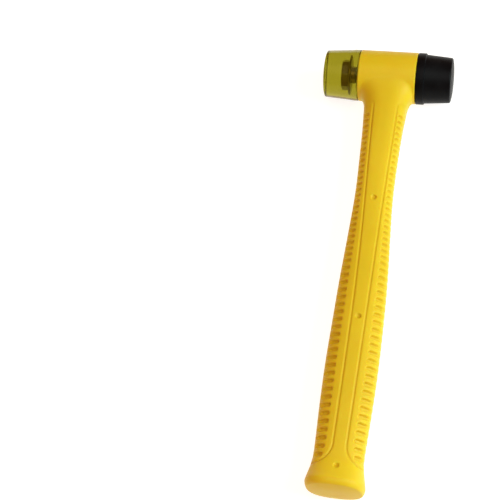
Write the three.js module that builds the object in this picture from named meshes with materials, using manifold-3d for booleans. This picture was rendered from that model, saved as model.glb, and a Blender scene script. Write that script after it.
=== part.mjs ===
// Two-way soft-faced mallet: a moulded handle and head barrel on a steel core, with a clear
// plastic face and a black rubber face that screw into a threaded steel block.
// Millimetres. The mallet lies flat: +Z up, the handle runs towards -Y, the head lies along X.
import * as THREE from 'three';
import { mergeVertices } from 'three/addons/utils/BufferGeometryUtils.js';
import Module from 'manifold-3d';

const wasm = await Module();
wasm.setup();

// ---- driving dimensions -------------------------------------------------------------------
const GAP = 0.3; // room left between pieces that touch
const OVERSHOOT = 1; // a cutting or joining solid runs past its mark by this much
const OVERALL_LENGTH = 320.2; // top of the head to the butt
const BARREL_RADIUS = 17.9;
const BARREL_LENGTH = 40;
const BARREL_EDGE = 0.8; // chamfer on both ends of the barrel
const HANDLE_OFFSET = 3; // the handle sits this far towards the rubber face
const NECK_LEAN = 2; // the neck leans back towards the clear face by this much
const LEAN_START_Y = -200; // the lean grows from here, measured from the head axis
const LEAN_END_Y = -30; // and is whole here

const HEAD_AXIS_Y = OVERALL_LENGTH / 2 - BARREL_RADIUS;
const BUTT_Y = BARREL_RADIUS - OVERALL_LENGTH; // butt end, measured from the head axis

const BLOCK_RADIUS = 12; // steel block inside the barrel
const BLOCK_LENGTH = BARREL_LENGTH - 1;
const CORE_RADIUS = 5; // steel bar down the handle
const CORE_SEAT = 6.5; // depth of the bar's seat in the block
const CORE_TIP_Y = -289; // lower end of the bar

const FACE_REACH = 25; // barrel end to the middle of the striking face
const FACE_CROWN = 0.9;
const FACE_BACK_EDGE = 0.4; // chamfer round the back of a face
const FLANGE_LENGTH = 5.8;
const FLANGE_EDGE = 0.3;
const LAND_RADIUS = 7; // flat middle of the crowned striking face
// The rounded front corner of a face: [inset from its front radius, distance below the crown].
const FACE_CORNER = [
  [-0.05, 1.1],
  [0.3, 0.35],
  [1.1, 0],
];
// Each face tapers from its flange to its front; the clear one tapers less.
const CLEAR_FACE = { frontRadius: 16.4, flangeStep: 0.45 };
const BLACK_FACE = { frontRadius: 15.7, flangeStep: 0.9 };

const THREAD_RADIUS = 4; // M8
const HEX_ACROSS_FLATS = 13;
const HEX_HEIGHT = 5.3;
const HEX_CHAMFER_RADIUS = 9; // the cone that cuts the hexagon's corners starts this far out
const HEX_CHAMFER_DROP = 1.3;
const HEX_CHAMFER_INSET = 0.2;
const HEX_START = 6.9; // barrel end to the underside of the bolt head
const BOLT_LENGTH = 25; // under the head
const BOLT_TIP_CHAMFER = 0.8;
const WASHER_RADIUS = 9.4;
const WASHER_THICKNESS = 1.2;
const WASHER_HOLE_RADIUS = THREAD_RADIUS + GAP;

const PIN_HOLE_RADIUS = 1.5; // witness holes of the pins that held the core in the mould
const PIN_HOLES_Y = [-102.4, -189.3, -288.0];
const PIN_HOLE_REACH = 20; // long enough to pass right through the handle

const POCKET_DEPTH = 1.2; // grip recesses on both sides of the handle
const POCKET_FIRST_Y = -281.4; // the lowest recess
const GRIP_POCKETS = { count: 25, pitch: 5.27 };
const NECK_POCKETS = { count: 26, pitch: 4.47 };
const POCKET_SHARE = 0.52; // part of the pitch that is recess
const POCKET_SPREAD = 50; // a recess covers the section this many degrees up and down

const ROUND_SEGMENTS = 40;
const BORE_SEGMENTS = 32;
const BAR_SEGMENTS = 24;
const PIN_SEGMENTS = 16;
const SECTION_SEGMENTS = 16;

// The handle's outline: [distance below the head axis, half width, half thickness].
const HANDLE_STATIONS = [
  [8, 17.6, 12.9],
  [17.5, 17.4, 12.9],
  [24, 15.3, 12.7],
  [34, 14.5, 12.1],
  [50, 13.6, 11.0],
  [80, 12.85, 9.7],
  [100, 12.85, 9.3],
  [125, 13.9, 9.3],
  [160, 15.6, 9.8],
  [190, 16.4, 10.3],
  [222, 16.85, 10.6],
  [250, 16.4, 10.6],
  [277, 15.6, 10.7],
  [286, 16.2, 11.5],
  [292, 17.4, 13.9],
  [296.8, 18.35, 16.6],
];
const GRIP_EXPONENT = 2.5; // roundness of the section: 2 is an ellipse, more is squarer
const NECK_RINGS = [8, 14, 17.5, 20, 24, 29];
const BUTT_RINGS = [284, 286, 289, 292, 294.5, 296.8];
// The rounded rim of the butt and its flat middle: [distance below the head axis, inset].
const BUTT_RIM = [
  [299.2, 0.5],
  [301.0, 2.2],
];
const BUTT_LAND = [10, 8]; // half width and half thickness of the flat middle

// ---- solids -------------------------------------------------------------------------------
const MERGE_TOLERANCE = 1e-4;

function solid(geometry) {
  const bare = geometry.clone();
  bare.deleteAttribute('normal');
  bare.deleteAttribute('uv');
  const merged = mergeVertices(bare, MERGE_TOLERANCE);
  return new wasm.Manifold(new wasm.Mesh({
    numProp: 3,
    vertProperties: Float32Array.from(merged.attributes.position.array),
    triVerts: Uint32Array.from(merged.index.array),
  }));
}

function geometryOf(body) {
  const mesh = body.getMesh();
  const geometry = new THREE.BufferGeometry();
  geometry.setAttribute('position', new THREE.BufferAttribute(mesh.vertProperties, mesh.numProp));
  geometry.setIndex(new THREE.BufferAttribute(mesh.triVerts, 1));
  geometry.computeVertexNormals();
  return geometry;
}

// A round solid about the local Y axis from an outline of [radius, y] points on the axis.
function turned(outline, segments = ROUND_SEGMENTS) {
  const points = outline.map(([radius, y]) => new THREE.Vector2(radius, y));
  return new THREE.LatheGeometry(points, segments);
}

function rod(radius, from, to, segments = ROUND_SEGMENTS) {
  return turned([[0, from], [radius, from], [radius, to], [0, to]], segments);
}

function hexagon(acrossFlats, from, to) {
  const cornerRadius = acrossFlats / Math.sqrt(3);
  const prism = new THREE.CylinderGeometry(cornerRadius, cornerRadius, to - from, 6);
  return prism.rotateY(Math.PI / 6).translate(0, (from + to) / 2, 0);
}

// ---- the handle ---------------------------------------------------------------------------
const widthCurve = new THREE.SplineCurve(
  HANDLE_STATIONS.map(([below, halfWidth]) => new THREE.Vector2(-below, halfWidth)));
const thicknessCurve = new THREE.SplineCurve(
  HANDLE_STATIONS.map(([below, , halfThickness]) => new THREE.Vector2(-below, halfThickness)));

function middleX(y) {
  return HANDLE_OFFSET - NECK_LEAN * THREE.MathUtils.smoothstep(y, LEAN_START_Y, LEAN_END_Y);
}

const HALVINGS = 30;

// The curve's value at a height y, by halving the spline's parameter range.
function valueAt(curve, y) {
  let low = 0;
  let high = 1;
  for (let step = 0; step < HALVINGS; step += 1) {
    const middle = (low + high) / 2;
    if (curve.getPoint(middle).x > y) low = middle;
    else high = middle;
  }
  return curve.getPoint(low).y;
}

// The angle of a section point, folded into 0 to 90 degrees from the handle's side.
function angleFromSide(i) {
  const degrees = (i / SECTION_SEGMENTS) * 360;
  const folded = degrees % 180;
  return Math.min(folded, 180 - folded);
}

// One section of the handle; in a recessed one the points on its sides lie deeper.
function sectionRing(y, halfWidth, halfThickness, recessed) {
  const ring = [];
  const power = 2 / GRIP_EXPONENT;
  for (let i = 0; i < SECTION_SEGMENTS; i += 1) {
    const angle = (i / SECTION_SEGMENTS) * 2 * Math.PI;
    const across = Math.cos(angle);
    const up = Math.sin(angle);
    const inset = recessed && angleFromSide(i) < POCKET_SPREAD ? POCKET_DEPTH : 0;
    ring.push([
      middleX(y) + (halfWidth - inset) * Math.sign(across) * Math.abs(across) ** power,
      y,
      (halfThickness - inset) * Math.sign(up) * Math.abs(up) ** power,
    ]);
  }
  return ring;
}

// Heights of the grip recesses: wide pitch on the grip, narrow pitch up the neck.
function pockets() {
  const list = [];
  let y = POCKET_FIRST_Y;
  for (const { count, pitch } of [GRIP_POCKETS, NECK_POCKETS]) {
    for (let i = 0; i < count; i += 1) {
      list.push({ y, half: (pitch * POCKET_SHARE) / 2 });
      y += pitch;
    }
  }
  return list.reverse();
}

// The handle's sections from the head down. A recess has a plain and a recessed section on
// each of its edges, which share the points that the recess doesn't move.
function handleRings() {
  const plain = (y) => ({ y, recessed: false });
  const rings = NECK_RINGS.map((below) => plain(-below));
  for (const { y, half } of pockets()) {
    rings.push(plain(y + half), { y: y + half, recessed: true });
    rings.push({ y: y - half, recessed: true }, plain(y - half));
  }
  rings.push(...BUTT_RINGS.map((below) => plain(-below)));
  const sections = rings.map(({ y, recessed }) => (
    sectionRing(y, valueAt(widthCurve, y), valueAt(thicknessCurve, y), recessed)));
  const [, rimWidth, rimThickness] = HANDLE_STATIONS[HANDLE_STATIONS.length - 1];
  for (const [below, inset] of BUTT_RIM) {
    sections.push(sectionRing(-below, rimWidth - inset, rimThickness - inset, false));
  }
  sections.push(sectionRing(BUTT_Y, BUTT_LAND[0], BUTT_LAND[1], false));
  return sections;
}

const SAME_POINT = 1e-9;

// The handle as one closed skin over its sections.
function handleLoft() {
  const sections = handleRings();
  const positions = sections.flat(2);
  const same = (a, b) => a.every((value, axis) => Math.abs(value - b[axis]) < SAME_POINT);
  const indices = [];
  for (let r = 0; r + 1 < sections.length; r += 1) {
    for (let i = 0; i < SECTION_SEGMENTS; i += 1) {
      const next = (i + 1) % SECTION_SEGMENTS;
      const here = r * SECTION_SEGMENTS;
      const below = here + SECTION_SEGMENTS;
      const startShared = same(sections[r][i], sections[r + 1][i]);
      const endShared = same(sections[r][next], sections[r + 1][next]);
      if (!startShared) indices.push(here + i, here + next, below + i);
      if (!endShared) indices.push(here + next, below + next, below + i);
    }
  }
  const last = (sections.length - 1) * SECTION_SEGMENTS;
  for (let i = 1; i + 1 < SECTION_SEGMENTS; i += 1) {
    indices.push(0, i + 1, i);
    indices.push(last, last + i, last + i + 1);
  }
  const geometry = new THREE.BufferGeometry();
  geometry.setAttribute('position', new THREE.Float32BufferAttribute(positions, 3));
  geometry.setIndex(indices);
  return geometry;
}

function pinHole(y) {
  const hole = rod(PIN_HOLE_RADIUS, -PIN_HOLE_REACH, PIN_HOLE_REACH, PIN_SEGMENTS);
  return hole.rotateX(Math.PI / 2).translate(HANDLE_OFFSET, y, 0);
}

function handleHousing() {
  const half = BARREL_LENGTH / 2;
  const barrel = turned([
    [0, -half],
    [BARREL_RADIUS - BARREL_EDGE, -half],
    [BARREL_RADIUS, -half + BARREL_EDGE],
    [BARREL_RADIUS, half - BARREL_EDGE],
    [BARREL_RADIUS - BARREL_EDGE, half],
    [0, half],
  ]).rotateZ(-Math.PI / 2);
  const bore = rod(BLOCK_RADIUS + GAP, -half - OVERSHOOT, half + OVERSHOOT);
  bore.rotateZ(-Math.PI / 2);
  const channel = rod(CORE_RADIUS + GAP, CORE_TIP_Y - GAP, 0, BAR_SEGMENTS);
  channel.translate(HANDLE_OFFSET, 0, 0);
  let body = solid(handleLoft()).add(solid(barrel)).subtract(solid(bore));
  body = body.subtract(solid(channel));
  for (const y of PIN_HOLES_Y) body = body.subtract(solid(pinHole(y)));
  return geometryOf(body);
}

// ---- the steel inside ---------------------------------------------------------------------
const coreTopY = -(BLOCK_RADIUS - CORE_SEAT);

function headBlock() {
  const half = BLOCK_LENGTH / 2;
  const block = rod(BLOCK_RADIUS, -half, half).rotateZ(-Math.PI / 2);
  const threadRadius = THREAD_RADIUS + GAP;
  const thread = rod(threadRadius, -half - OVERSHOOT, half + OVERSHOOT, BORE_SEGMENTS);
  thread.rotateZ(-Math.PI / 2);
  const seat = rod(CORE_RADIUS + GAP, -BARREL_RADIUS, coreTopY + GAP, BAR_SEGMENTS);
  seat.translate(HANDLE_OFFSET, 0, 0);
  return geometryOf(solid(block).subtract(solid(thread)).subtract(solid(seat)));
}

function handleCore() {
  return rod(CORE_RADIUS, CORE_TIP_Y, coreTopY, BAR_SEGMENTS).translate(HANDLE_OFFSET, 0, 0);
}

// ---- a screw-in face, standing on the barrel end with +Y pointing outwards ----------------
const washerTop = HEX_START - GAP;
const washerBottom = washerTop - WASHER_THICKNESS;

function faceBody({ frontRadius, flangeStep }) {
  const crownFoot = FACE_REACH - FACE_CROWN;
  const outer = turned([
    [0, GAP],
    [BARREL_RADIUS - FACE_BACK_EDGE, GAP],
    [BARREL_RADIUS, GAP + FACE_BACK_EDGE],
    [BARREL_RADIUS, FLANGE_LENGTH - FLANGE_EDGE],
    [BARREL_RADIUS - FLANGE_EDGE, FLANGE_LENGTH],
    [BARREL_RADIUS - flangeStep, FLANGE_LENGTH],
    ...FACE_CORNER.map(([inset, back]) => [frontRadius - inset, crownFoot - back]),
    [LAND_RADIUS, FACE_REACH],
    [0, FACE_REACH],
  ]);
  const head = hexagon(HEX_ACROSS_FLATS + 2 * GAP, HEX_START - GAP, HEX_START + HEX_HEIGHT + GAP);
  const washer = rod(WASHER_RADIUS + GAP, washerBottom - GAP, HEX_START, BORE_SEGMENTS);
  const shank = rod(THREAD_RADIUS + GAP, -OVERSHOOT, HEX_START, BORE_SEGMENTS);
  return geometryOf(
    solid(outer).subtract(solid(head)).subtract(solid(washer)).subtract(solid(shank)));
}

function faceBolt() {
  const tip = HEX_START - BOLT_LENGTH;
  const top = HEX_START + HEX_HEIGHT;
  const shank = turned([
    [0, tip],
    [THREAD_RADIUS - BOLT_TIP_CHAMFER, tip],
    [THREAD_RADIUS, tip + BOLT_TIP_CHAMFER],
    [THREAD_RADIUS, HEX_START + OVERSHOOT],
    [0, HEX_START + OVERSHOOT],
  ], BAR_SEGMENTS);
  const head = hexagon(HEX_ACROSS_FLATS, HEX_START, top);
  const chamfer = turned([
    [0, HEX_START - OVERSHOOT],
    [HEX_CHAMFER_RADIUS, HEX_START - OVERSHOOT],
    [HEX_CHAMFER_RADIUS, top - HEX_CHAMFER_DROP],
    [HEX_ACROSS_FLATS / 2 - HEX_CHAMFER_INSET, top],
    [0, top],
  ], BAR_SEGMENTS);
  return geometryOf(solid(head).intersect(solid(chamfer)).add(solid(shank)));
}

function faceWasher() {
  return turned([
    [WASHER_HOLE_RADIUS, washerBottom],
    [WASHER_RADIUS, washerBottom],
    [WASHER_RADIUS, washerTop],
    [WASHER_HOLE_RADIUS, washerTop],
    [WASHER_HOLE_RADIUS, washerBottom],
  ], BORE_SEGMENTS);
}

// ---- the assembly -------------------------------------------------------------------------
function finish(color, roughness, metalness) {
  return new THREE.MeshStandardMaterial({ color, roughness, metalness });
}

const plainSteel = () => finish(0x8a8d90, 0.4, 1);
const darkSteel = () => finish(0x3c3a36, 0.35, 1);

function piece(name, geometry, material) {
  const mesh = new THREE.Mesh(geometry, material);
  mesh.name = name;
  return mesh;
}

const mallet = new THREE.Group();
mallet.position.set(0, HEAD_AXIS_Y, BARREL_RADIUS);
mallet.add(piece('handle_housing', handleHousing(), finish(0xf2d01e, 0.45, 0)));
mallet.add(piece('handle_core', handleCore(), plainSteel()));
mallet.add(piece('head_block', headBlock(), plainSteel()));

// A face with its bolt and washer on one end of the barrel: direction is -1 or 1 along X.
function addFace(prefix, direction, shape, faceFinish) {
  const end = new THREE.Group();
  end.position.x = direction * (BARREL_LENGTH / 2);
  end.rotation.z = -direction * (Math.PI / 2);
  end.add(piece(`${prefix}_face`, faceBody(shape), faceFinish));
  end.add(piece(`${prefix}_face_bolt`, faceBolt(), darkSteel()));
  end.add(piece(`${prefix}_face_washer`, faceWasher(), darkSteel()));
  mallet.add(end);
}

addFace('clear', -1, CLEAR_FACE, finish(0xa8a02a, 0.15, 0));
addFace('black', 1, BLACK_FACE, finish(0x141414, 0.6, 0));

const group = new THREE.Group();
group.add(mallet);
export default group;
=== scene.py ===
# Two-way soft-faced mallet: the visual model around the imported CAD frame, metres, +Z up.
import math

import bmesh
import bpy
import numpy as np
from mathutils import Matrix, Vector


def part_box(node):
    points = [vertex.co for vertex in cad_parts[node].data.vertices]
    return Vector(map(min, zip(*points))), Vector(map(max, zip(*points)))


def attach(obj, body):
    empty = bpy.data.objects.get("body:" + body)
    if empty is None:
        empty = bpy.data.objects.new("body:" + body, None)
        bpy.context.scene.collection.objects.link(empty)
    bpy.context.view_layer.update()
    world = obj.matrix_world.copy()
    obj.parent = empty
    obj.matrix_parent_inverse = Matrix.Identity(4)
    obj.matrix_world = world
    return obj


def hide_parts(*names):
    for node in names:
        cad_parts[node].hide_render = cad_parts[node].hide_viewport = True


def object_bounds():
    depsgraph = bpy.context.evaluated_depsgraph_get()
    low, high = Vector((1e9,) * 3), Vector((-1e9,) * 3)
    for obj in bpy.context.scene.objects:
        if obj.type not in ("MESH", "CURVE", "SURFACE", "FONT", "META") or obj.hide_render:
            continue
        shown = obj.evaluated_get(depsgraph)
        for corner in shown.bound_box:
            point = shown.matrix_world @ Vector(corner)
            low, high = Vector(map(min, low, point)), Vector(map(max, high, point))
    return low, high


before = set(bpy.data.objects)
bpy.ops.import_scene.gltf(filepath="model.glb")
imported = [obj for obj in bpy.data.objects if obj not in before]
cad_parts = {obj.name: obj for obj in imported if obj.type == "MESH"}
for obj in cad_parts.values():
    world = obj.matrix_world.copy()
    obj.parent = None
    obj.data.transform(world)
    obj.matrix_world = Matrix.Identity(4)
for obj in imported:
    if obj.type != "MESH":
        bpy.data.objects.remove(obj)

cad_low, cad_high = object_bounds()
MM = 0.001


def cad_box(node):
    """Lowest and highest corner of a CAD node, in millimetres."""
    low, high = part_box(node)
    return np.array(low) / MM, np.array(high) / MM


# ---- places taken from the frame, in millimetres ----------------------------------------
GAP = 0.3  # room between pieces that touch
BLOCK_INSET = 0.5  # the steel block ends this far inside the barrel

block_low, block_high = cad_box("head_block")
housing_low, housing_high = cad_box("handle_housing")
core_low, core_high = cad_box("handle_core")
HEAD = (block_low + block_high) / 2  # middle of the barrel, on the head's axis
BARREL_R = housing_high[2] - HEAD[2]
BARREL_HALF = (block_high[0] - block_low[0]) / 2 + BLOCK_INSET
BLOCK_R = (block_high[2] - block_low[2]) / 2
BORE_R = BLOCK_R + GAP
HANDLE_X = (core_low[0] + core_high[0]) / 2 - HEAD[0]  # handle axis beside the barrel's middle
BUTT_Y = housing_low[1] - HEAD[1]

# ---- the handle's outline, in millimetres from the head's axis --------------------------
NECK_LEAN = 2.0  # the neck leans back towards the clear face by this much
LEAN_START_Y = -200.0  # the lean grows from here
LEAN_END_Y = -30.0  # and is whole here
GRIP_EXPONENT = 2.5  # roundness of the section: 2 is an ellipse, more is squarer
# [distance below the head axis, half width, half thickness]
STATIONS = [
    (17.5, 16.2, 12.9), (24, 15.1, 12.7), (34, 14.5, 12.1), (50, 13.6, 11.0),
    (80, 12.85, 9.7), (100, 12.85, 9.3), (125, 13.9, 9.3), (160, 15.6, 9.8),
    (190, 16.4, 10.3), (222, 16.85, 10.6), (250, 16.4, 10.6), (277, 15.6, 10.7),
    (286, 16.2, 11.5), (292, 17.4, 13.9), (296.8, 18.35, 16.6), (301.5, 18.8, 17.4),
]
FILLET_START = 30.0  # the neck starts to flare into the barrel here
NECK_PULL = 0.55  # how far the flare follows the neck first, as a share of its length
FOOT_PULL = 0.12  # and how far it follows the barrel last
SADDLE_X = 0.25  # middle of the flare's foot on the barrel
SADDLE_HALF = 18.9  # half of the foot's length along the barrel
SADDLE_ANGLE = 57.0  # degrees round the barrel from the side that faces the butt
FOOT_EXPONENT = 3.2  # roundness of the foot
BARREL_EDGE = 0.8  # radius of the barrel's rounded edges
BORE_RING = 0.4  # width of the ring of faces next to the bore

BUTT_EDGE = 296.8  # the butt's rounded rim starts here
BUTT_RIM = 2.4  # how far the rim draws in
BUTT_DOME = 1.3  # height of the slight dome on the butt's end
BUTT_FLAT = 0.3  # part of the butt's end that is flat

# ---- how finely the moulding is divided -------------------------------------------------
AROUND = 288  # points round a section, a multiple of 12 so that it has points at its corners
CORNER = 60.0  # section angle that goes to the corner of the unrolled barrel
CURVE_SAMPLES = 40  # points on a curve between two of its stations
FLARE_STEPS = 26  # rows over the fillet
BARREL_STEPS = 30  # rows round the barrel
NECK_STEPS = 12  # rows between the fillet and the first recess
STEPS_PER_POCKET = 12
FOOT_STEPS = 44  # rows between the last recess and the butt's rim
RIM_STEPS = 13  # rows over the butt's rim
BUTT_STEPS = 23  # rows over the butt's end
EDGE_STEPS = 6  # points over a rounded edge of the barrel
ANGLE_DIGITS = 9  # angles that agree this far are one angle

# ---- recesses, grooves and pin marks, in millimetres ------------------------------------
POCKET_FIRST = 281.4  # the lowest recess
GRIP_POCKETS = (25, 5.27)  # number and pitch
NECK_POCKETS = (26, 4.47)
POCKET_SHARE = 0.56  # part of the pitch that is recess
# [distance below the head axis, inner end of a recess as a share of the half width]
POCKET_INNER = [(50, 0.68), (100, 0.66), (150, 0.6), (250, 0.53), (272, 0.53), (281.4, 0.6)]
POCKET_DEPTH = 1.45
POCKET_SHIFT = 0.4  # the recesses sit this far sideways of the handle's middle
POCKET_WALL_IN = 0.7  # the wall of a recess slopes from this far inside its edge
POCKET_WALL_OUT = 0.2  # to this far outside
POCKET_FADE = 0.84  # share of the half width from which a recess runs out sideways
POCKET_FADE_DEPTH = 0.97  # part of the depth that it loses there
POCKET_SHADE = 0.8  # how strongly a recess is painted with shade, 0 to 1

GROOVE_DEPTH = 0.48
GROOVE_HALF = 1.0
GROOVE_FLOOR = 0.1  # half width of the groove's bottom
# how strongly the grooves are painted with shade, 0 to 1
GROOVE_SHADE = 0.8
# [distance below the head axis, distance from the middle]
GROOVE_LINE = [(30, 8.3), (53, 7.7), (100, 6.2), (137, 5.3), (190, 4.6), (275, 4.2)]
GROOVE_FOOT = 274.0  # here the grooves turn outwards, on arcs of this radius
GROOVE_FOOT_R = 13.0
GROOVE_FOOT_FADE = (292.0, 294.0)  # and here they end
GROOVE_HOOK = 31.0  # the same at the top
GROOVE_HOOK_R = 3.0
GROOVE_HOOK_FADE = (29.0, 38.0)  # the grooves grow shallow here
GROOVE_HOOK_LEAST = 0.45  # down to this part of their depth
GROOVE_HOOK_ENDS = (11.5, 14.0)  # distance from the middle where the arcs end
GROOVE_HOOK_ROOM = 2.0

PIN_MARKS = [(102.4, 0.05), (189.3, 0.05), (288.0, 0.08)]  # place and height of the raised lip
PIN_MARK_R = 1.7
PIN_MARK_DEPTH = 0.9
PIN_WALL_IN = 0.35  # the wall of a mark slopes from this far inside its edge
PIN_WALL_OUT = 0.2  # to this far outside
PIN_LIP_OUT = 0.8  # crest of the lip, outside the mark's edge
PIN_LIP_WIDTH = 0.45

FEATURE_SHIFT = [(30, 1.0), (100, 0.95), (222, 0.8), (288, 0.5)]  # grooves and marks, sideways
FLAT_SIDE = (0.25, 0.5)  # share of the half thickness over which the flat side begins
CARVED_FROM = (20.0, 26.0)  # grooves start within this distance of the head axis

# ---- faces, bolts, washers, block and bar, in millimetres -------------------------------
FLANGE_LENGTH = 5.8
FACE_CROWN = 0.9
FACE_LAND_R = 7.0  # flat middle of the crowned striking face
FACE_BACK_EDGE = 0.4  # radius of the edge round the back of a face
FACE_BACK_RING = 8.0  # a ring of points on the back
FACE_EDGE_RING = 0.1  # and one this far inside the edge
FACE_CORNER_ARC = (3, 84)  # degrees that the rounded front corner covers
FACE_BACK_STEPS = 5  # points over the back edge, and so on to the front
FACE_FLANGE_STEPS = 14
FACE_CORNER_STEPS = 12
FACE_CROWN_STEPS = 7
FACE_AROUND = 160
# Front radius, flange step, length of the step's blend, and front corner radius.
CLEAR_SHAPE = {"front_r": 16.4, "step": 0.45, "blend": 5.0, "corner_r": 0.9}
BLACK_SHAPE = {"front_r": 15.7, "step": 0.9, "blend": 0.6, "corner_r": 1.3}

PITCH = 1.25  # M8
THREAD_R = 4.0
THREAD_DEPTH = 0.62
THREAD_FLANKS = (0.15, 0.95)  # part of the half pitch that the flank takes up
THREAD_SHADE_AMOUNT = 0.75  # how dark the painted shade makes the thread, 0 to 1
THREAD_RUN_OUT = 1.5  # length over which the thread ends below the plain shank
PLAIN_SHANK = 3.2
ROWS_PER_PITCH = 10
BOLT_AROUND = 48
BOLT_TIP = -18.1  # measured outwards from the barrel's end
TIP_CHAMFER = 1.2
TIP_DROP = 0.9
HEX_START = 6.9  # underside of the bolt's head
HEX_FLATS = 13.0
HEX_HEIGHT = 5.3
HEX_AROUND = 96
HEX_ROWS = (0.35, 0.7)  # rows of points up the flats, as a share of the height
HEX_EDGE = 0.2  # the bevel under the head
HEX_FOOT_RING = 0.3  # rings of points this far inside the flats
HEX_TOP_RING = 0.25
HEX_TOP_BEVEL = 0.55  # fall of the top chamfer per millimetre outwards
HEX_DISH = (1.6, 1.9)  # inset of the shallow dish in the top, at its edge and its floor
HEX_DISH_DEPTH = 0.15
SHOULDER = 0.4  # fillet between shank and head

WASHER_HOLE_R = THREAD_R + GAP
WASHER_EDGE = 0.25
SMALL_AROUND = 96

BORE_THREAD_R = THREAD_R + GAP  # the block's threaded bore, crest and root
BORE_THREAD_DEPTH = 0.45
BORE_MOUTH = 0.6  # chamfer at the bore's mouth
BORE_CREST = 0.2  # flat part of a thread's crest, as a share of the pitch
BORE_ROOT = 0.6  # place of the thread's root, as a share of the pitch
BLOCK_EDGE = 0.5
BAR_EDGE = 0.8
BAR_AROUND = 64

# Edges sharper than this many degrees stay sharp in the shading.
MOULDING_SHARP = 40
BOLT_SHARP = 30
TURNED_SHARP = 35
# Points closer than this, in millimetres, are one point.
MOULDING_WELD = 0.001
BOLT_WELD = 0.0005
TURNED_WELD = 0.002
SAME_PLACE = 1e-6
TINY_LENGTH = 1e-9


# ---- mesh helpers -----------------------------------------------------------------------
def make_object(name, vertices_mm, faces, material, weld, sharp, painted_shade=None):
    """A mesh object from points in millimetres about the head's middle."""
    bm = bmesh.new()
    points = (np.asarray(vertices_mm, dtype=float) + HEAD) * MM
    # per point, how much painted shade the material mixes into the colour
    layer = bm.verts.layers.float.new("painted_shade")
    made = [bm.verts.new(p) for p in points]
    if painted_shade is not None:
        for vertex, value in zip(made, painted_shade):
            vertex[layer] = value
    for face in faces:
        if len(set(face)) > 2:
            bm.faces.new([made[i] for i in dict.fromkeys(face)])
    bmesh.ops.remove_doubles(bm, verts=bm.verts, dist=weld * MM)
    bmesh.ops.dissolve_degenerate(bm, edges=bm.edges, dist=weld * MM / 10)
    bmesh.ops.recalc_face_normals(bm, faces=bm.faces)
    mesh = bpy.data.meshes.new(name)
    bm.to_mesh(mesh)
    bm.free()
    mesh.shade_smooth()
    mesh.set_sharp_from_angle(angle=math.radians(sharp))
    mesh.materials.append(material)
    piece = bpy.data.objects.new(name, mesh)
    bpy.context.scene.collection.objects.link(piece)
    return piece


def grid_faces(rows, columns, start=0, wrap=True):
    """Quads between rows of points, each row `columns` long."""
    faces = []
    last = columns if wrap else columns - 1
    for r in range(rows - 1):
        for c in range(last):
            n = (c + 1) % columns
            here, below = start + r * columns, start + (r + 1) * columns
            faces.append((here + c, here + n, below + n, below + c))
    return faces


def smoothstep(low, high, value):
    t = np.clip((value - low) / (high - low), 0.0, 1.0)
    return t * t * (3 - 2 * t)


def spline_table(points):
    """Dense samples of a Catmull-Rom curve through the points."""
    p = np.array(points, dtype=float)
    p = np.vstack([2 * p[0] - p[1], p, 2 * p[-1] - p[-2]])
    rows = []
    for i in range(1, len(p) - 2):
        for t in np.linspace(0, 1, CURVE_SAMPLES, endpoint=False):
            a, b, c, d = p[i - 1], p[i], p[i + 1], p[i + 2]
            rows.append(0.5 * (2 * b + (c - a) * t + (2 * a - 5 * b + 4 * c - d) * t**2
                               + (3 * b - a - 3 * c + d) * t**3))
    rows.append(p[-2])
    return np.array(rows)


def read_off(table, below):
    """A value read off a short table of (distance below the head axis, value)."""
    places, values = zip(*table)
    return np.interp(below, places, values)


# ---- the handle and barrel moulding -----------------------------------------------------
station_table = spline_table(STATIONS)
groove_table = spline_table(GROOVE_LINE)


def half_width(below):
    return np.interp(below, station_table[:, 0], station_table[:, 1])


def half_thickness(below):
    return np.interp(below, station_table[:, 0], station_table[:, 2])


def middle_x(below):
    lean = smoothstep(LEAN_START_Y, LEAN_END_Y, -np.asarray(below, dtype=float))
    return HANDLE_X - NECK_LEAN * lean


section_angle = np.arange(AROUND) / AROUND * 2 * math.pi


def rounded(values, exponent=GRIP_EXPONENT):
    """cos or sin of the section angle, squared off: 2 is an ellipse, more is squarer."""
    return np.sign(values) * np.abs(values) ** (2 / exponent)


ACROSS = rounded(np.cos(section_angle))
UP = rounded(np.sin(section_angle))


def ring(middle, width, thickness, y):
    """A squared-off ring of points across the handle, from its half width and half thickness."""
    return np.stack([middle + width * ACROSS, np.full(AROUND, y), thickness * UP], axis=1)


def section(below):
    return ring(middle_x(below), half_width(below), half_thickness(below), -float(below))


def butt_ring(inset, share, y):
    """A ring of the butt: its edge drawn in by `inset` and shrunk to `share`."""
    width = (half_width(BUTT_EDGE) - inset) * share
    thickness = (half_thickness(BUTT_EDGE) - inset) * share
    return ring(middle_x(BUTT_EDGE), width, thickness, y)


def pocket_list():
    """(distance below the head axis, pitch) of every grip recess."""
    found = []
    below = POCKET_FIRST
    for count, pitch in (GRIP_POCKETS, NECK_POCKETS):
        for _ in range(count):
            found.append((below, pitch))
            below -= pitch
    return found


def on_barrel(x, angle):
    """A point on the barrel, the angle measured from the side that faces the butt."""
    return np.stack([x, -BARREL_R * np.cos(angle), BARREL_R * np.sin(angle)], axis=1)


def barrel_corner_points():
    """Where each section line ends on the unrolled barrel: its two ends and its far side."""
    degrees = np.degrees(section_angle)
    folded = np.where(degrees > 180, 360 - degrees, degrees)  # 0..180, above and below alike
    side = np.where(folded > 90, 180 - folded, folded)  # 0..90 from the nearer barrel end
    end = BARREL_HALF - BARREL_EDGE
    x = np.where(side <= CORNER, end, end * (90 - side) / (90 - CORNER))
    x = np.where(folded > 90, -x, x)
    angle = np.where(side <= CORNER, side / CORNER * math.pi, math.pi)
    return x, np.where(degrees > 180, -angle, angle)


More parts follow.
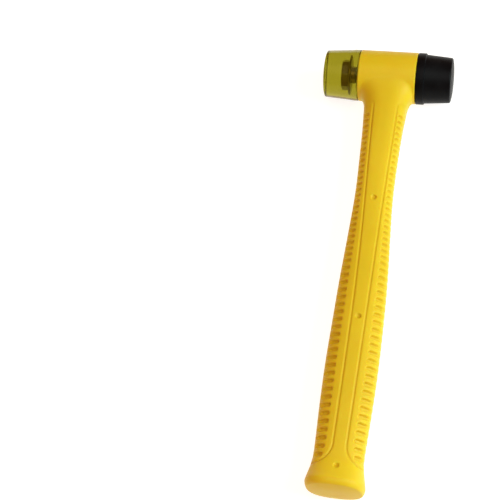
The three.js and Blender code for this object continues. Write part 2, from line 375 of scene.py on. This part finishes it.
def flare_rows():
    """Rows from the neck over the fillet and round the barrel, nearest the neck first."""
    foot_x = SADDLE_X + SADDLE_HALF * rounded(np.cos(section_angle), FOOT_EXPONENT)
    foot_angle = math.radians(SADDLE_ANGLE) * rounded(np.sin(section_angle), FOOT_EXPONENT)
    foot = on_barrel(foot_x, foot_angle)
    neck = section(FILLET_START)
    out_x, out_angle = foot_x - SADDLE_X, foot_angle * BARREL_R
    size = np.hypot(out_x, out_angle)
    along_x, along_angle = out_x / size, out_angle / size
    tangent = np.stack([along_x, along_angle * np.sin(foot_angle),
                        along_angle * np.cos(foot_angle)], axis=1)
    reach = np.linalg.norm(foot - neck, axis=1)[:, None]
    neck_slope = (section(FILLET_START - 1) - section(FILLET_START + 1)) / 2
    neck_slope /= np.linalg.norm(neck_slope, axis=1)[:, None]
    first = neck + neck_slope * reach * NECK_PULL
    second = foot - tangent * reach * FOOT_PULL
    rows = []
    for t in np.linspace(0, 1, FLARE_STEPS + 1)[1:]:
        rows.append(neck * (1 - t) ** 3 + first * 3 * t * (1 - t) ** 2
                    + second * 3 * t**2 * (1 - t) + foot * t**3)
    end_x, end_angle = barrel_corner_points()
    for t in np.linspace(0, 1, BARREL_STEPS + 1)[1:]:
        rows.append(on_barrel(foot_x + (end_x - foot_x) * t,
                              foot_angle + (end_angle - foot_angle) * t))
    return rows


def handle_rows():
    """Rows down the handle from the neck to the middle of the butt's end."""
    pockets = pocket_list()
    top = pockets[-1][0] - pockets[-1][1] / 2
    bottom = pockets[0][0] + pockets[0][1] / 2
    below = list(np.linspace(FILLET_START, top, NECK_STEPS, endpoint=False))
    for place, pitch in reversed(pockets):
        start = place - pitch / 2
        below += list(start + np.arange(STEPS_PER_POCKET) * pitch / STEPS_PER_POCKET)
    below += list(np.linspace(bottom, BUTT_EDGE, FOOT_STEPS))
    rows = [section(b) for b in below]
    rim_length = -BUTT_Y - BUTT_EDGE - BUTT_DOME
    for turn in np.linspace(0, math.pi / 2, RIM_STEPS + 1)[1:]:
        inset = BUTT_RIM * (1 - math.cos(turn))
        rows.append(butt_ring(inset, 1.0, -(BUTT_EDGE + rim_length * math.sin(turn))))
    for share in np.linspace(1, 0, BUTT_STEPS + 1)[1:]:
        dome = max(0.0, (share - BUTT_FLAT) / (1 - BUTT_FLAT)) ** 2
        rows.append(butt_ring(BUTT_RIM, share, BUTT_Y + BUTT_DOME * dome))
    return rows


def grid_normals(rows):
    """Outward normals of a grid of points that wraps round its columns."""
    around = np.roll(rows, -1, axis=1) - np.roll(rows, 1, axis=1)
    down = np.gradient(rows, axis=0)
    normal = np.cross(around, down)
    length = np.linalg.norm(normal, axis=2, keepdims=True)
    return normal / np.maximum(length, TINY_LENGTH)


def pocket_depth(x, below, width):
    """How deep the grip recesses are at each point, and how far inside one it lies (0 to 1), which
    carve paints with shade.
    """
    across = np.abs(x)
    depth = np.zeros_like(x)
    inside = np.zeros_like(x)
    for place, pitch in pocket_list():
        half = pitch * POCKET_SHARE / 2
        near = np.abs(below - place) < pitch / 2 + SAME_PLACE
        inner = read_off(POCKET_INNER, place) * width[near] + half
        dx = np.maximum(inner - across[near], 0)
        distance = np.hypot(dx, below[near] - place)
        edge = 1 - smoothstep(half - POCKET_WALL_IN, half + POCKET_WALL_OUT, distance)
        outwards = smoothstep(POCKET_FADE, 1.0, across[near] / width[near])
        sunk = edge * POCKET_DEPTH * (1 - POCKET_FADE_DEPTH * outwards)
        inside[near] = np.maximum(inside[near], edge * (1 - outwards))
        depth[near] = np.maximum(depth[near], sunk)
    return depth, inside


def groove_x(below):
    """Distance of a long groove from the middle, before it turns outwards."""
    return np.interp(below, groove_table[:, 0], groove_table[:, 1])


def groove_distance(x, below):
    """Distance in plan from the nearer of the two long grooves."""
    across = np.abs(x)
    slope = np.gradient(groove_table[:, 1], groove_table[:, 0])
    tilt = np.interp(below, groove_table[:, 0], slope)
    distance = np.abs(across - groove_x(below)) / np.hypot(1, tilt)
    foot_x = groove_x(GROOVE_FOOT) + GROOVE_FOOT_R
    to_foot = np.abs(np.hypot(across - foot_x, below - GROOVE_FOOT) - GROOVE_FOOT_R)
    distance = np.where(below > GROOVE_FOOT, to_foot, distance)
    hook_x = groove_x(GROOVE_HOOK) + GROOVE_HOOK_R
    to_hook = np.abs(np.hypot(across - hook_x, below - GROOVE_HOOK) - GROOVE_HOOK_R)
    to_hook = np.where(across > hook_x, np.abs(GROOVE_HOOK - below - GROOVE_HOOK_R), to_hook)
    return np.where(below < GROOVE_HOOK, to_hook, distance)


def groove_cut(x, below):
    """How far each point lies inside a long groove (0 to 1), faded out at its ends."""
    cut = 1 - smoothstep(GROOVE_FLOOR, GROOVE_HALF, groove_distance(x, below))
    foot_end = 1 - smoothstep(*GROOVE_FOOT_FADE, below)
    hook_end = smoothstep(*GROOVE_HOOK_FADE, below)
    hook_end = GROOVE_HOOK_LEAST + (1 - GROOVE_HOOK_LEAST) * hook_end
    on_hook = below < GROOVE_HOOK + GROOVE_HOOK_ROOM
    hook_end *= 1 - smoothstep(*GROOVE_HOOK_ENDS, np.abs(x)) * on_hook
    return cut * smoothstep(*CARVED_FROM, below) * foot_end * hook_end


def carve(rows):
    """Sinks the recesses, grooves and pin marks into the plain skin, and paints shade into them."""
    below = -rows[..., 1]
    x = rows[..., 0] - middle_x(below)
    flat_side = smoothstep(*FLAT_SIDE, np.abs(rows[..., 2]) / half_thickness(below))
    sink, inside = pocket_depth(x - POCKET_SHIFT, below, half_width(below))
    # painted shade: recesses, grooves and pin marks get a darker, more orange colour where shade
    # would fall
    shade = inside * POCKET_SHADE
    x = x - read_off(FEATURE_SHIFT, below)
    cut = groove_cut(x, below) * flat_side
    sink = sink + GROOVE_DEPTH * cut
    shade = np.maximum(shade, GROOVE_SHADE * cut)
    for place, lip_height in PIN_MARKS:
        radius = np.hypot(x, below - place)
        hole = 1 - smoothstep(PIN_MARK_R - PIN_WALL_IN, PIN_MARK_R + PIN_WALL_OUT, radius)
        sink = sink + PIN_MARK_DEPTH * hole * flat_side
        # painted shade in the pin mark
        shade = np.maximum(shade, hole * flat_side)
        lip = np.exp(-((radius - PIN_MARK_R - PIN_LIP_OUT) / PIN_LIP_WIDTH) ** 2)
        sink = sink - lip_height * lip * flat_side
    return rows - grid_normals(rows) * sink[..., None], shade


def barrel_end_angles():
    """Angles of the points on a barrel end, in order round the barrel."""
    x, angle = barrel_corner_points()
    on_end = np.abs(x - (BARREL_HALF - BARREL_EDGE)) < SAME_PLACE
    return np.unique(np.round(angle[on_end], ANGLE_DIGITS))


def barrel_end_outline(side):
    """(x, radius) of a barrel end from the bore over the end face and the rounded edge."""
    end = side * BARREL_HALF
    outline = [(end, BORE_R), (end, BORE_R + BORE_RING)]
    for turn in np.linspace(math.pi / 2, 0, EDGE_STEPS):
        outline.append((side * (BARREL_HALF - BARREL_EDGE * (1 - math.sin(turn))),
                        BARREL_R - BARREL_EDGE * (1 - math.cos(turn))))
    return outline


def handle_housing(material):
    """The moulding: a carved skin, closed by the barrel's ends and its bore."""
    skin, shade = carve(np.array(flare_rows()[::-1] + handle_rows()))
    points = skin.reshape(-1, 3)
    angles = barrel_end_angles()
    rings = []
    for x, radius in barrel_end_outline(1)[::-1] + barrel_end_outline(-1):
        rings.append(np.stack([np.full(len(angles), x), -radius * np.cos(angles),
                               radius * np.sin(angles)], axis=1))
    faces = grid_faces(len(skin), AROUND)
    faces += grid_faces(len(rings), len(angles), len(points), wrap=False)
    vertices = np.concatenate([points, *rings])
    # painted shade of the carving; the barrel's end rings get none
    painted_shade = np.zeros(len(vertices))
    painted_shade[:len(points)] = shade.reshape(-1)
    piece = make_object("handle_moulding", vertices, faces, material, MOULDING_WELD,
                        MOULDING_SHARP, painted_shade)
    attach(piece, "handle")
    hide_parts("handle_housing")


# ---- turned pieces ----------------------------------------------------------------------
def lathe(name, outline, material, centre_x, direction, around, closed=False):
    """A round piece about the head's axis from an outline of (radius, distance outwards)."""
    points = []
    for radius, out in outline:
        x = centre_x + direction * out
        for i in range(around):
            a = 2 * math.pi * i / around
            points.append((x, radius * math.cos(a), radius * math.sin(a)))
    faces = grid_faces(len(outline), around)
    if closed:
        start = (len(outline) - 1) * around
        for c in range(around):
            n = (c + 1) % around
            faces.append((start + c, start + n, n, c))
    return make_object(name, points, faces, material, TURNED_WELD, TURNED_SHARP)


def arc(centre, radius, start, end, steps):
    """Points on an arc in the (radius, out) plane, angles in degrees."""
    return [(centre[0] + radius * math.cos(math.radians(a)),
             centre[1] + radius * math.sin(math.radians(a)))
            for a in np.linspace(start, end, steps)]


def face_outline(reach, front_r, step, blend, corner_r):
    """The striking face's outline from the middle of its back to the middle of its front."""
    back_r = BARREL_R - FACE_BACK_EDGE
    outline = [(0.0, GAP), (FACE_BACK_RING, GAP), (back_r - FACE_EDGE_RING, GAP)]
    outline += arc((back_r, GAP + FACE_BACK_EDGE), FACE_BACK_EDGE, -90, 0, FACE_BACK_STEPS)
    for share in np.linspace(0, 1, FACE_FLANGE_STEPS):
        outline.append((BARREL_R - step * smoothstep(0.0, 1.0, share),
                        FLANGE_LENGTH + blend * (share - 0.5)))
    edge = reach - FACE_CROWN
    outline += arc((front_r - corner_r, edge - corner_r), corner_r, *FACE_CORNER_ARC,
                   FACE_CORNER_STEPS)
    top_r, top = outline[-1]
    for share in np.linspace(0, 1, FACE_CROWN_STEPS + 1)[1:]:
        radius = top_r + (FACE_LAND_R - top_r) * share
        outline.append((radius, reach - (reach - top) * (1 - share) ** 2))
    outline.append((0.0, reach))
    return outline


def striking_face(prefix, direction, shape, material):
    low, high = cad_box(f"{prefix}_face")
    front_x = (high if direction > 0 else low)[0] - HEAD[0]
    outline = face_outline(abs(front_x) - BARREL_HALF, **shape)
    piece = lathe(f"{prefix}_striking_face", outline, material, direction * BARREL_HALF,
                  direction, FACE_AROUND)
    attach(piece, f"{prefix}_turn")
    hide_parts(f"{prefix}_face")


# ---- bolts ------------------------------------------------------------------------------
def round_row(radius, out):
    """A row of (radius, angle, out) of a bolt's head, the same radius all round."""
    return [(radius, a, out) for a in 2 * math.pi * np.arange(HEX_AROUND) / HEX_AROUND]


def hex_row(out, inset=0.0, bevel=0.0):
    """A row round the hexagon, which falls by `bevel` per millimetre outside the flats."""
    angles = 2 * math.pi * np.arange(HEX_AROUND) / HEX_AROUND
    radii = HEX_FLATS / 2 / np.cos(angles % (math.pi / 3) - math.pi / 6)
    return [(r - inset, a, out - bevel * (r - HEX_FLATS / 2)) for r, a in zip(radii, angles)]


def hex_head_rows():
    """Rows round a hex head with both its ends closed and its outer corners chamfered."""
    half = HEX_FLATS / 2
    top = HEX_START + HEX_HEIGHT
    dish_edge, dish_floor = HEX_DISH
    rows = [round_row(0.0, HEX_START), round_row(half - HEX_FOOT_RING, HEX_START)]
    rows.append(hex_row(HEX_START, inset=HEX_EDGE))
    rows.append(hex_row(HEX_START + HEX_EDGE))
    for share in HEX_ROWS:
        rows.append(hex_row(HEX_START + HEX_HEIGHT * share))
    rows.append(hex_row(top - HEX_TOP_RING, bevel=HEX_TOP_BEVEL))
    rows.append(round_row(half - HEX_TOP_RING, top))
    rows.append(round_row(half - dish_edge, top))
    rows.append(round_row(half - dish_floor, top - HEX_DISH_DEPTH))
    rows.append(round_row(0.0, top - HEX_DISH_DEPTH))
    return rows


def thread_share(out):
    """1 where the shank is threaded, 0 on its plain part under the head."""
    plain = HEX_START - PLAIN_SHANK
    return 1 - smoothstep(plain - THREAD_RUN_OUT, plain, out)


def thread_radius(out, turn):
    """The shank's radius at a distance outwards and a share of a turn."""
    phase = (out / PITCH + turn) % 1.0
    flank = smoothstep(*THREAD_FLANKS, abs(2 * phase - 1))
    tip = 1 - smoothstep(BOLT_TIP, BOLT_TIP + TIP_CHAMFER, out)
    return THREAD_R - THREAD_DEPTH * flank * thread_share(out) - TIP_DROP * tip


def bolt(name, direction, material):
    """An M8 hex bolt along the head's axis, its thread cut as one helix."""
    def place(radius, a, out):
        return (direction * (BARREL_HALF + out), radius * math.cos(a), radius * math.sin(a))

    turns = [i / BOLT_AROUND for i in range(BOLT_AROUND)]
    rows = int((HEX_START - PLAIN_SHANK - BOLT_TIP) / PITCH * ROWS_PER_PITCH)
    points = []
    thread_shade_values = []
    for r in range(rows + 1):
        out = BOLT_TIP + r * PITCH / ROWS_PER_PITCH
        for turn in turns:
            points.append(place(thread_radius(out, turn), -2 * math.pi * turn * direction, out))
            # painted shade over the threaded part of the shank
            thread_shade_values.append(THREAD_SHADE_AMOUNT * thread_share(out))
    faces = grid_faces(rows + 1, BOLT_AROUND)
    neck = len(points)
    for out, radius in ((HEX_START - SHOULDER, THREAD_R), (HEX_START, THREAD_R + SHOULDER)):
        for turn in turns:
            points.append(place(radius, -2 * math.pi * turn * direction, out))
    faces += grid_faces(2, BOLT_AROUND, neck - BOLT_AROUND)
    faces += grid_faces(2, BOLT_AROUND, neck)
    tip, seat = len(points), len(points) + 1
    points.append(place(0, 0, BOLT_TIP))
    points.append(place(0, 0, HEX_START))
    for i in range(BOLT_AROUND):
        n = (i + 1) % BOLT_AROUND
        faces.append((i, n, tip))
        faces.append((neck + BOLT_AROUND + i, neck + BOLT_AROUND + n, seat))
    head = len(points)
    head_rows = hex_head_rows()
    for row in head_rows:
        points += [place(*point) for point in row]
    faces += grid_faces(len(head_rows), HEX_AROUND, head)
    thread_shade_values += [0.0] * (len(points) - len(thread_shade_values))
    return make_object(name, points, faces, material, BOLT_WELD, BOLT_SHARP, thread_shade_values)


def face_bolt(prefix, direction, material):
    piece = bolt(f"{prefix}_bolt", direction, material)
    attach(piece, f"{prefix}_turn")
    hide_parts(f"{prefix}_face_bolt")


def face_washer(prefix, direction, material):
    low, high = cad_box(f"{prefix}_face_washer")
    outer = (high[2] - low[2]) / 2
    near, far = sorted(abs(x - HEAD[0]) - BARREL_HALF for x in (low[0], high[0]))
    outline = [(WASHER_HOLE_R, near), (outer - WASHER_EDGE, near), (outer, near + WASHER_EDGE),
               (outer, far - WASHER_EDGE), (outer - WASHER_EDGE, far), (WASHER_HOLE_R, far)]
    piece = lathe(f"{prefix}_washer", outline, material, direction * BARREL_HALF, direction,
                  SMALL_AROUND, closed=True)
    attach(piece, f"{prefix}_travel")
    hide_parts(f"{prefix}_face_washer")


# ---- the block and the bar --------------------------------------------------------------
def head_block(material):
    """The steel block with its threaded bore, cut as rings of the thread's profile."""
    half = BARREL_HALF - BLOCK_INSET
    mouth_r = BORE_THREAD_R + BORE_MOUTH
    outline = [(mouth_r, -half), (BLOCK_R - BLOCK_EDGE, -half), (BLOCK_R, -half + BLOCK_EDGE),
               (BLOCK_R, half - BLOCK_EDGE), (BLOCK_R - BLOCK_EDGE, half), (mouth_r, half)]
    threaded = half - BORE_MOUTH
    threads = int(2 * threaded / PITCH)
    step = 2 * threaded / threads
    for i in range(threads):
        top = threaded - i * step
        outline += [(BORE_THREAD_R, top), (BORE_THREAD_R, top - step * BORE_CREST),
                    (BORE_THREAD_R + BORE_THREAD_DEPTH, top - step * BORE_ROOT)]
    outline.append((BORE_THREAD_R, -threaded))
    piece = lathe("steel_head_block", outline, material, 0.0, 1, SMALL_AROUND, closed=True)
    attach(piece, "handle")
    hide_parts("head_block")


def core_bar(material):
    """The steel bar in the handle, with chamfered ends."""
    radius = (core_high[0] - core_low[0]) / 2
    low, high = core_low[1] - HEAD[1], core_high[1] - HEAD[1]
    outline = [(0, low), (radius - BAR_EDGE, low), (radius, low + BAR_EDGE),
               (radius, high - BAR_EDGE), (radius - BAR_EDGE, high), (0, high)]
    points = []
    for r, y in outline:
        for i in range(BAR_AROUND):
            a = 2 * math.pi * i / BAR_AROUND
            points.append((HANDLE_X + r * math.cos(a), y, r * math.sin(a)))
    piece = make_object("steel_core_bar", points, grid_faces(len(outline), BAR_AROUND), material,
                        TURNED_WELD, TURNED_SHARP)
    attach(piece, "handle")
    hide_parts("handle_core")


# ---- materials --------------------------------------------------------------------------
YELLOW = ((0.72, 0.50, 0.015), (0.78, 0.552, 0.021))
# colour of the painted shade in the handle's recesses, grooves and pin marks
YELLOW_PAINTED_SHADE = (0.52, 0.225, 0.001)
PAINTED_SHADE_MOST = 0.29  # how far the painted shade goes towards that colour
CLEAR_GREEN = (0.36, 0.33, 0.018)
CLEAR_SHEEN = (0.5, 0.45, 0.12)
RUBBER = ((0.0018, 0.002, 0.003), (0.0045, 0.005, 0.0065))
PLAIN_STEEL = (0.55, 0.54, 0.52)
BLACK_OXIDE = (0.24, 0.17, 0.09)
STEEL_SHADE = 0.75  # the darker patches of steel, as a share of its colour
# colour of the painted shade over the bolts' threads
THREAD_SHADE_COLOUR = (0.03, 0.02, 0.005)


class Nodes:
    """Short calls for building a node tree round one Principled shader."""

    def __init__(self, name):
        self.material = bpy.data.materials.new(name)
        self.material.use_nodes = True
        self.tree = self.material.node_tree
        self.shader = self.tree.nodes["Principled BSDF"]

    def node(self, kind, **settings):
        made = self.tree.nodes.new(kind)
        for key, value in settings.items():
            if hasattr(made, key) and not key[0].isupper():
                setattr(made, key, value)
            else:
                made.inputs[key.replace("_", " ")].default_value = value
        return made

    def link(self, source, target):
        self.tree.links.new(source, target)

    def noise(self, scale, detail=2.0, roughness=0.5):
        place = self.node("ShaderNodeTexCoord")
        made = self.node("ShaderNodeTexNoise", Scale=scale, Detail=detail, Roughness=roughness)
        self.link(place.outputs["Object"], made.inputs["Vector"])
        return made.outputs["Fac"]

    def ramp(self, source, low, high, colours):
        """A ramp from the first colour at `low` to the second at `high`."""
        made = self.node("ShaderNodeValToRGB")
        for step, place, colour in zip(made.color_ramp.elements, (low, high), colours):
            step.position = place
            step.color = (*colour, 1.0)
        self.link(source, made.inputs["Fac"])
        return made.outputs["Color"]

    def spread(self, source, low, high):
        made = self.node("ShaderNodeMapRange")
        made.inputs["To Min"].default_value = low
        made.inputs["To Max"].default_value = high
        self.link(source, made.inputs["Value"])
        return made.outputs["Result"]

    def by_painted_shade(self, plain, colour, most):
        """The plain colour, mixed with another where the mesh carries painted shade."""
        mix = self.node("ShaderNodeMix", data_type="RGBA", blend_type="MIX")
        painted_shade = self.node("ShaderNodeAttribute", attribute_name="painted_shade")
        self.link(self.spread(painted_shade.outputs["Fac"], 0.0, most), mix.inputs["Factor"])
        self.link(plain, mix.inputs["A"])
        mix.inputs["B"].default_value = (*colour, 1.0)
        self.link(mix.outputs["Result"], self.shader.inputs["Base Color"])

    def roughness(self, smoothest, roughest, scale, detail=2.0):
        """Roughness that wanders between two values."""
        wander = self.spread(self.noise(scale, detail), smoothest, roughest)
        self.link(wander, self.shader.inputs["Roughness"])

    def bump(self, *layers):
        """Bump layers of (noise scale, detail, strength, distance in metres)."""
        normal = None
        for scale, detail, strength, distance in layers:
            made = self.node("ShaderNodeBump", Strength=strength, Distance=distance)
            self.link(self.noise(scale, detail), made.inputs["Height"])
            if normal is not None:
                self.link(normal, made.inputs["Normal"])
            normal = made.outputs["Normal"]
        self.link(normal, self.shader.inputs["Normal"])

    def set(self, **values):
        for key, value in values.items():
            self.shader.inputs[key.replace("_", " ")].default_value = value


def yellow_plastic():
    n = Nodes("yellow_plastic")
    cloud = n.noise(scale=22.0, detail=3.0)
    # painted shade in the recesses, grooves and pin marks
    n.by_painted_shade(n.ramp(cloud, 0.3, 0.7, YELLOW), YELLOW_PAINTED_SHADE, PAINTED_SHADE_MOST)
    n.roughness(0.36, 0.5, scale=400.0, detail=3.0)
    n.bump((60.0, 2.0, 0.25, 0.0004), (2600.0, 2.0, 0.12, 0.00006))
    n.set(Subsurface_Weight=0.3, Subsurface_Scale=0.004, Subsurface_Radius=(1.0, 0.4, 0.05))
    n.set(IOR=1.49, Specular_IOR_Level=0.16)
    return n.material


def clear_plastic():
    n = Nodes("clear_plastic")
    n.set(Base_Color=(*CLEAR_GREEN, 1.0), Transmission_Weight=0.92, IOR=1.47)
    n.roughness(0.09, 0.14, scale=300.0)
    n.bump((90.0, 2.0, 0.12, 0.0003))
    n.set(Specular_IOR_Level=0.1, Specular_Tint=(*CLEAR_SHEEN, 1.0))
    return n.material


def black_rubber():
    n = Nodes("black_rubber")
    dust = n.noise(scale=70.0, detail=4.0)
    n.link(n.ramp(dust, 0.45, 0.8, RUBBER), n.shader.inputs["Base Color"])
    n.roughness(0.34, 0.52, scale=250.0, detail=3.0)
    n.bump((120.0, 2.0, 0.2, 0.0003), (3000.0, 2.0, 0.15, 0.00006))
    n.set(Specular_IOR_Level=0.08)
    return n.material


def steel(name, colour, smoothest, roughest):
    """Steel that is painted darker with shade where the mesh says so."""
    n = Nodes(name)
    darker = tuple(c * STEEL_SHADE for c in colour)
    patches = n.noise(scale=180.0, detail=4.0, roughness=0.6)
    # painted shade where the mesh says so: on the bolts' threads
    n.by_painted_shade(n.ramp(patches, 0.35, 0.7, (darker, colour)), THREAD_SHADE_COLOUR, 1.0)
    n.roughness(smoothest, roughest, scale=900.0, detail=3.0)
    n.bump((1500.0, 3.0, 0.15, 0.00005))
    n.set(Metallic=1.0)
    return n.material


# ---- stage: floor, light and camera, in metres ------------------------------------------
FLOOR_HALF = 6.0
FLOOR_DROP = 0.0005  # the floor lies this far under the mallet
FLOOR_GREYS = ((0.37, 0.37, 0.37), (0.4, 0.4, 0.4))
FLOOR_GLOW = (1.0, 0.98, 0.97)
FLOOR_GLOW_STRENGTH = 0.89
WORLD_COLOUR = (1.0, 0.42, 0.12)
WORLD_STRENGTH = 0.36
LIGHT_TARGET = (0.0, 0.0, 0.02)
# name, place, size, power, colour
LAMPS = [
    ("key", (0.9, 0.0, 0.7), (0.7, 0.9), 13.6, (0.69, 1.0, 0.98)),
    ("top", (0.0, -0.15, 1.3), (1.0, 1.0), 5.4, (1.0, 0.93, 0.9)),
]
CAMERA_PLACE = (0.0941, -0.3699, 0.7557)
CAMERA_AIM = (-0.0752, -0.0025, 0.0179)
CAMERA_ROLL = -17.04  # degrees
CAMERA_LENS = 91.1  # millimetres
CAMERA_SENSOR = 36.0


def camera():
    """The camera stands at the butt's side of the mallet and looks down on it."""
    data = bpy.data.cameras.new("camera")
    data.sensor_width = CAMERA_SENSOR
    data.lens = CAMERA_LENS
    view = bpy.data.objects.new("camera", data)
    place = Vector(CAMERA_PLACE)
    turn = (Vector(CAMERA_AIM) - place).to_track_quat("-Z", "Y").to_matrix()
    roll = Matrix.Rotation(math.radians(CAMERA_ROLL), 3, "Z")
    view.matrix_world = Matrix.Translation(place) @ (turn @ roll).to_4x4()
    bpy.context.scene.collection.objects.link(view)
    bpy.context.scene.camera = view


def floor():
    """A plain pale floor under the mallet."""
    n = Nodes("pale_floor")
    n.link(n.ramp(n.noise(6.0), 0.3, 0.7, FLOOR_GREYS), n.shader.inputs["Base Color"])
    n.set(Roughness=0.9, Emission_Color=(*FLOOR_GLOW, 1.0), Emission_Strength=FLOOR_GLOW_STRENGTH)
    mesh = bpy.data.meshes.new("floor")
    z = cad_low[2] - FLOOR_DROP
    corners = [(x * FLOOR_HALF, y * FLOOR_HALF, z) for x, y in ((-1, -1), (1, -1), (1, 1), (-1, 1))]
    mesh.from_pydata(corners, [], [(0, 1, 2, 3)])
    mesh.materials.append(n.material)
    plane = bpy.data.objects.new("floor", mesh)
    bpy.context.scene.collection.objects.link(plane)


def area_light(name, place, size, power, colour):
    data = bpy.data.lights.new(name, "AREA")
    data.shape = "RECTANGLE"
    data.size, data.size_y = size
    data.energy = power
    data.color = colour
    lamp = bpy.data.objects.new(name, data)
    lamp.location = place
    towards = Vector(LIGHT_TARGET) - Vector(place)
    lamp.rotation_euler = towards.to_track_quat("-Z", "Y").to_euler()
    bpy.context.scene.collection.objects.link(lamp)


def light():
    world = bpy.data.worlds.new("studio")
    world.use_nodes = True
    background = world.node_tree.nodes["Background"]
    background.inputs["Color"].default_value = (*WORLD_COLOUR, 1)
    background.inputs["Strength"].default_value = WORLD_STRENGTH
    bpy.context.scene.world = world
    for lamp in LAMPS:
        area_light(*lamp)
    bpy.context.scene.view_settings.view_transform = "Standard"


camera()
floor()
light()

bright_steel = steel("plain_steel", PLAIN_STEEL, 0.25, 0.45)
oxide_steel = steel("black_oxide_steel", BLACK_OXIDE, 0.22, 0.38)
handle_housing(yellow_plastic())
core_bar(bright_steel)
head_block(bright_steel)
striking_face("clear", -1, CLEAR_SHAPE, clear_plastic())
striking_face("black", 1, BLACK_SHAPE, black_rubber())
for prefix, direction in (("clear", -1), ("black", 1)):
    face_bolt(prefix, direction, oxide_steel)
    face_washer(prefix, direction, oxide_steel)
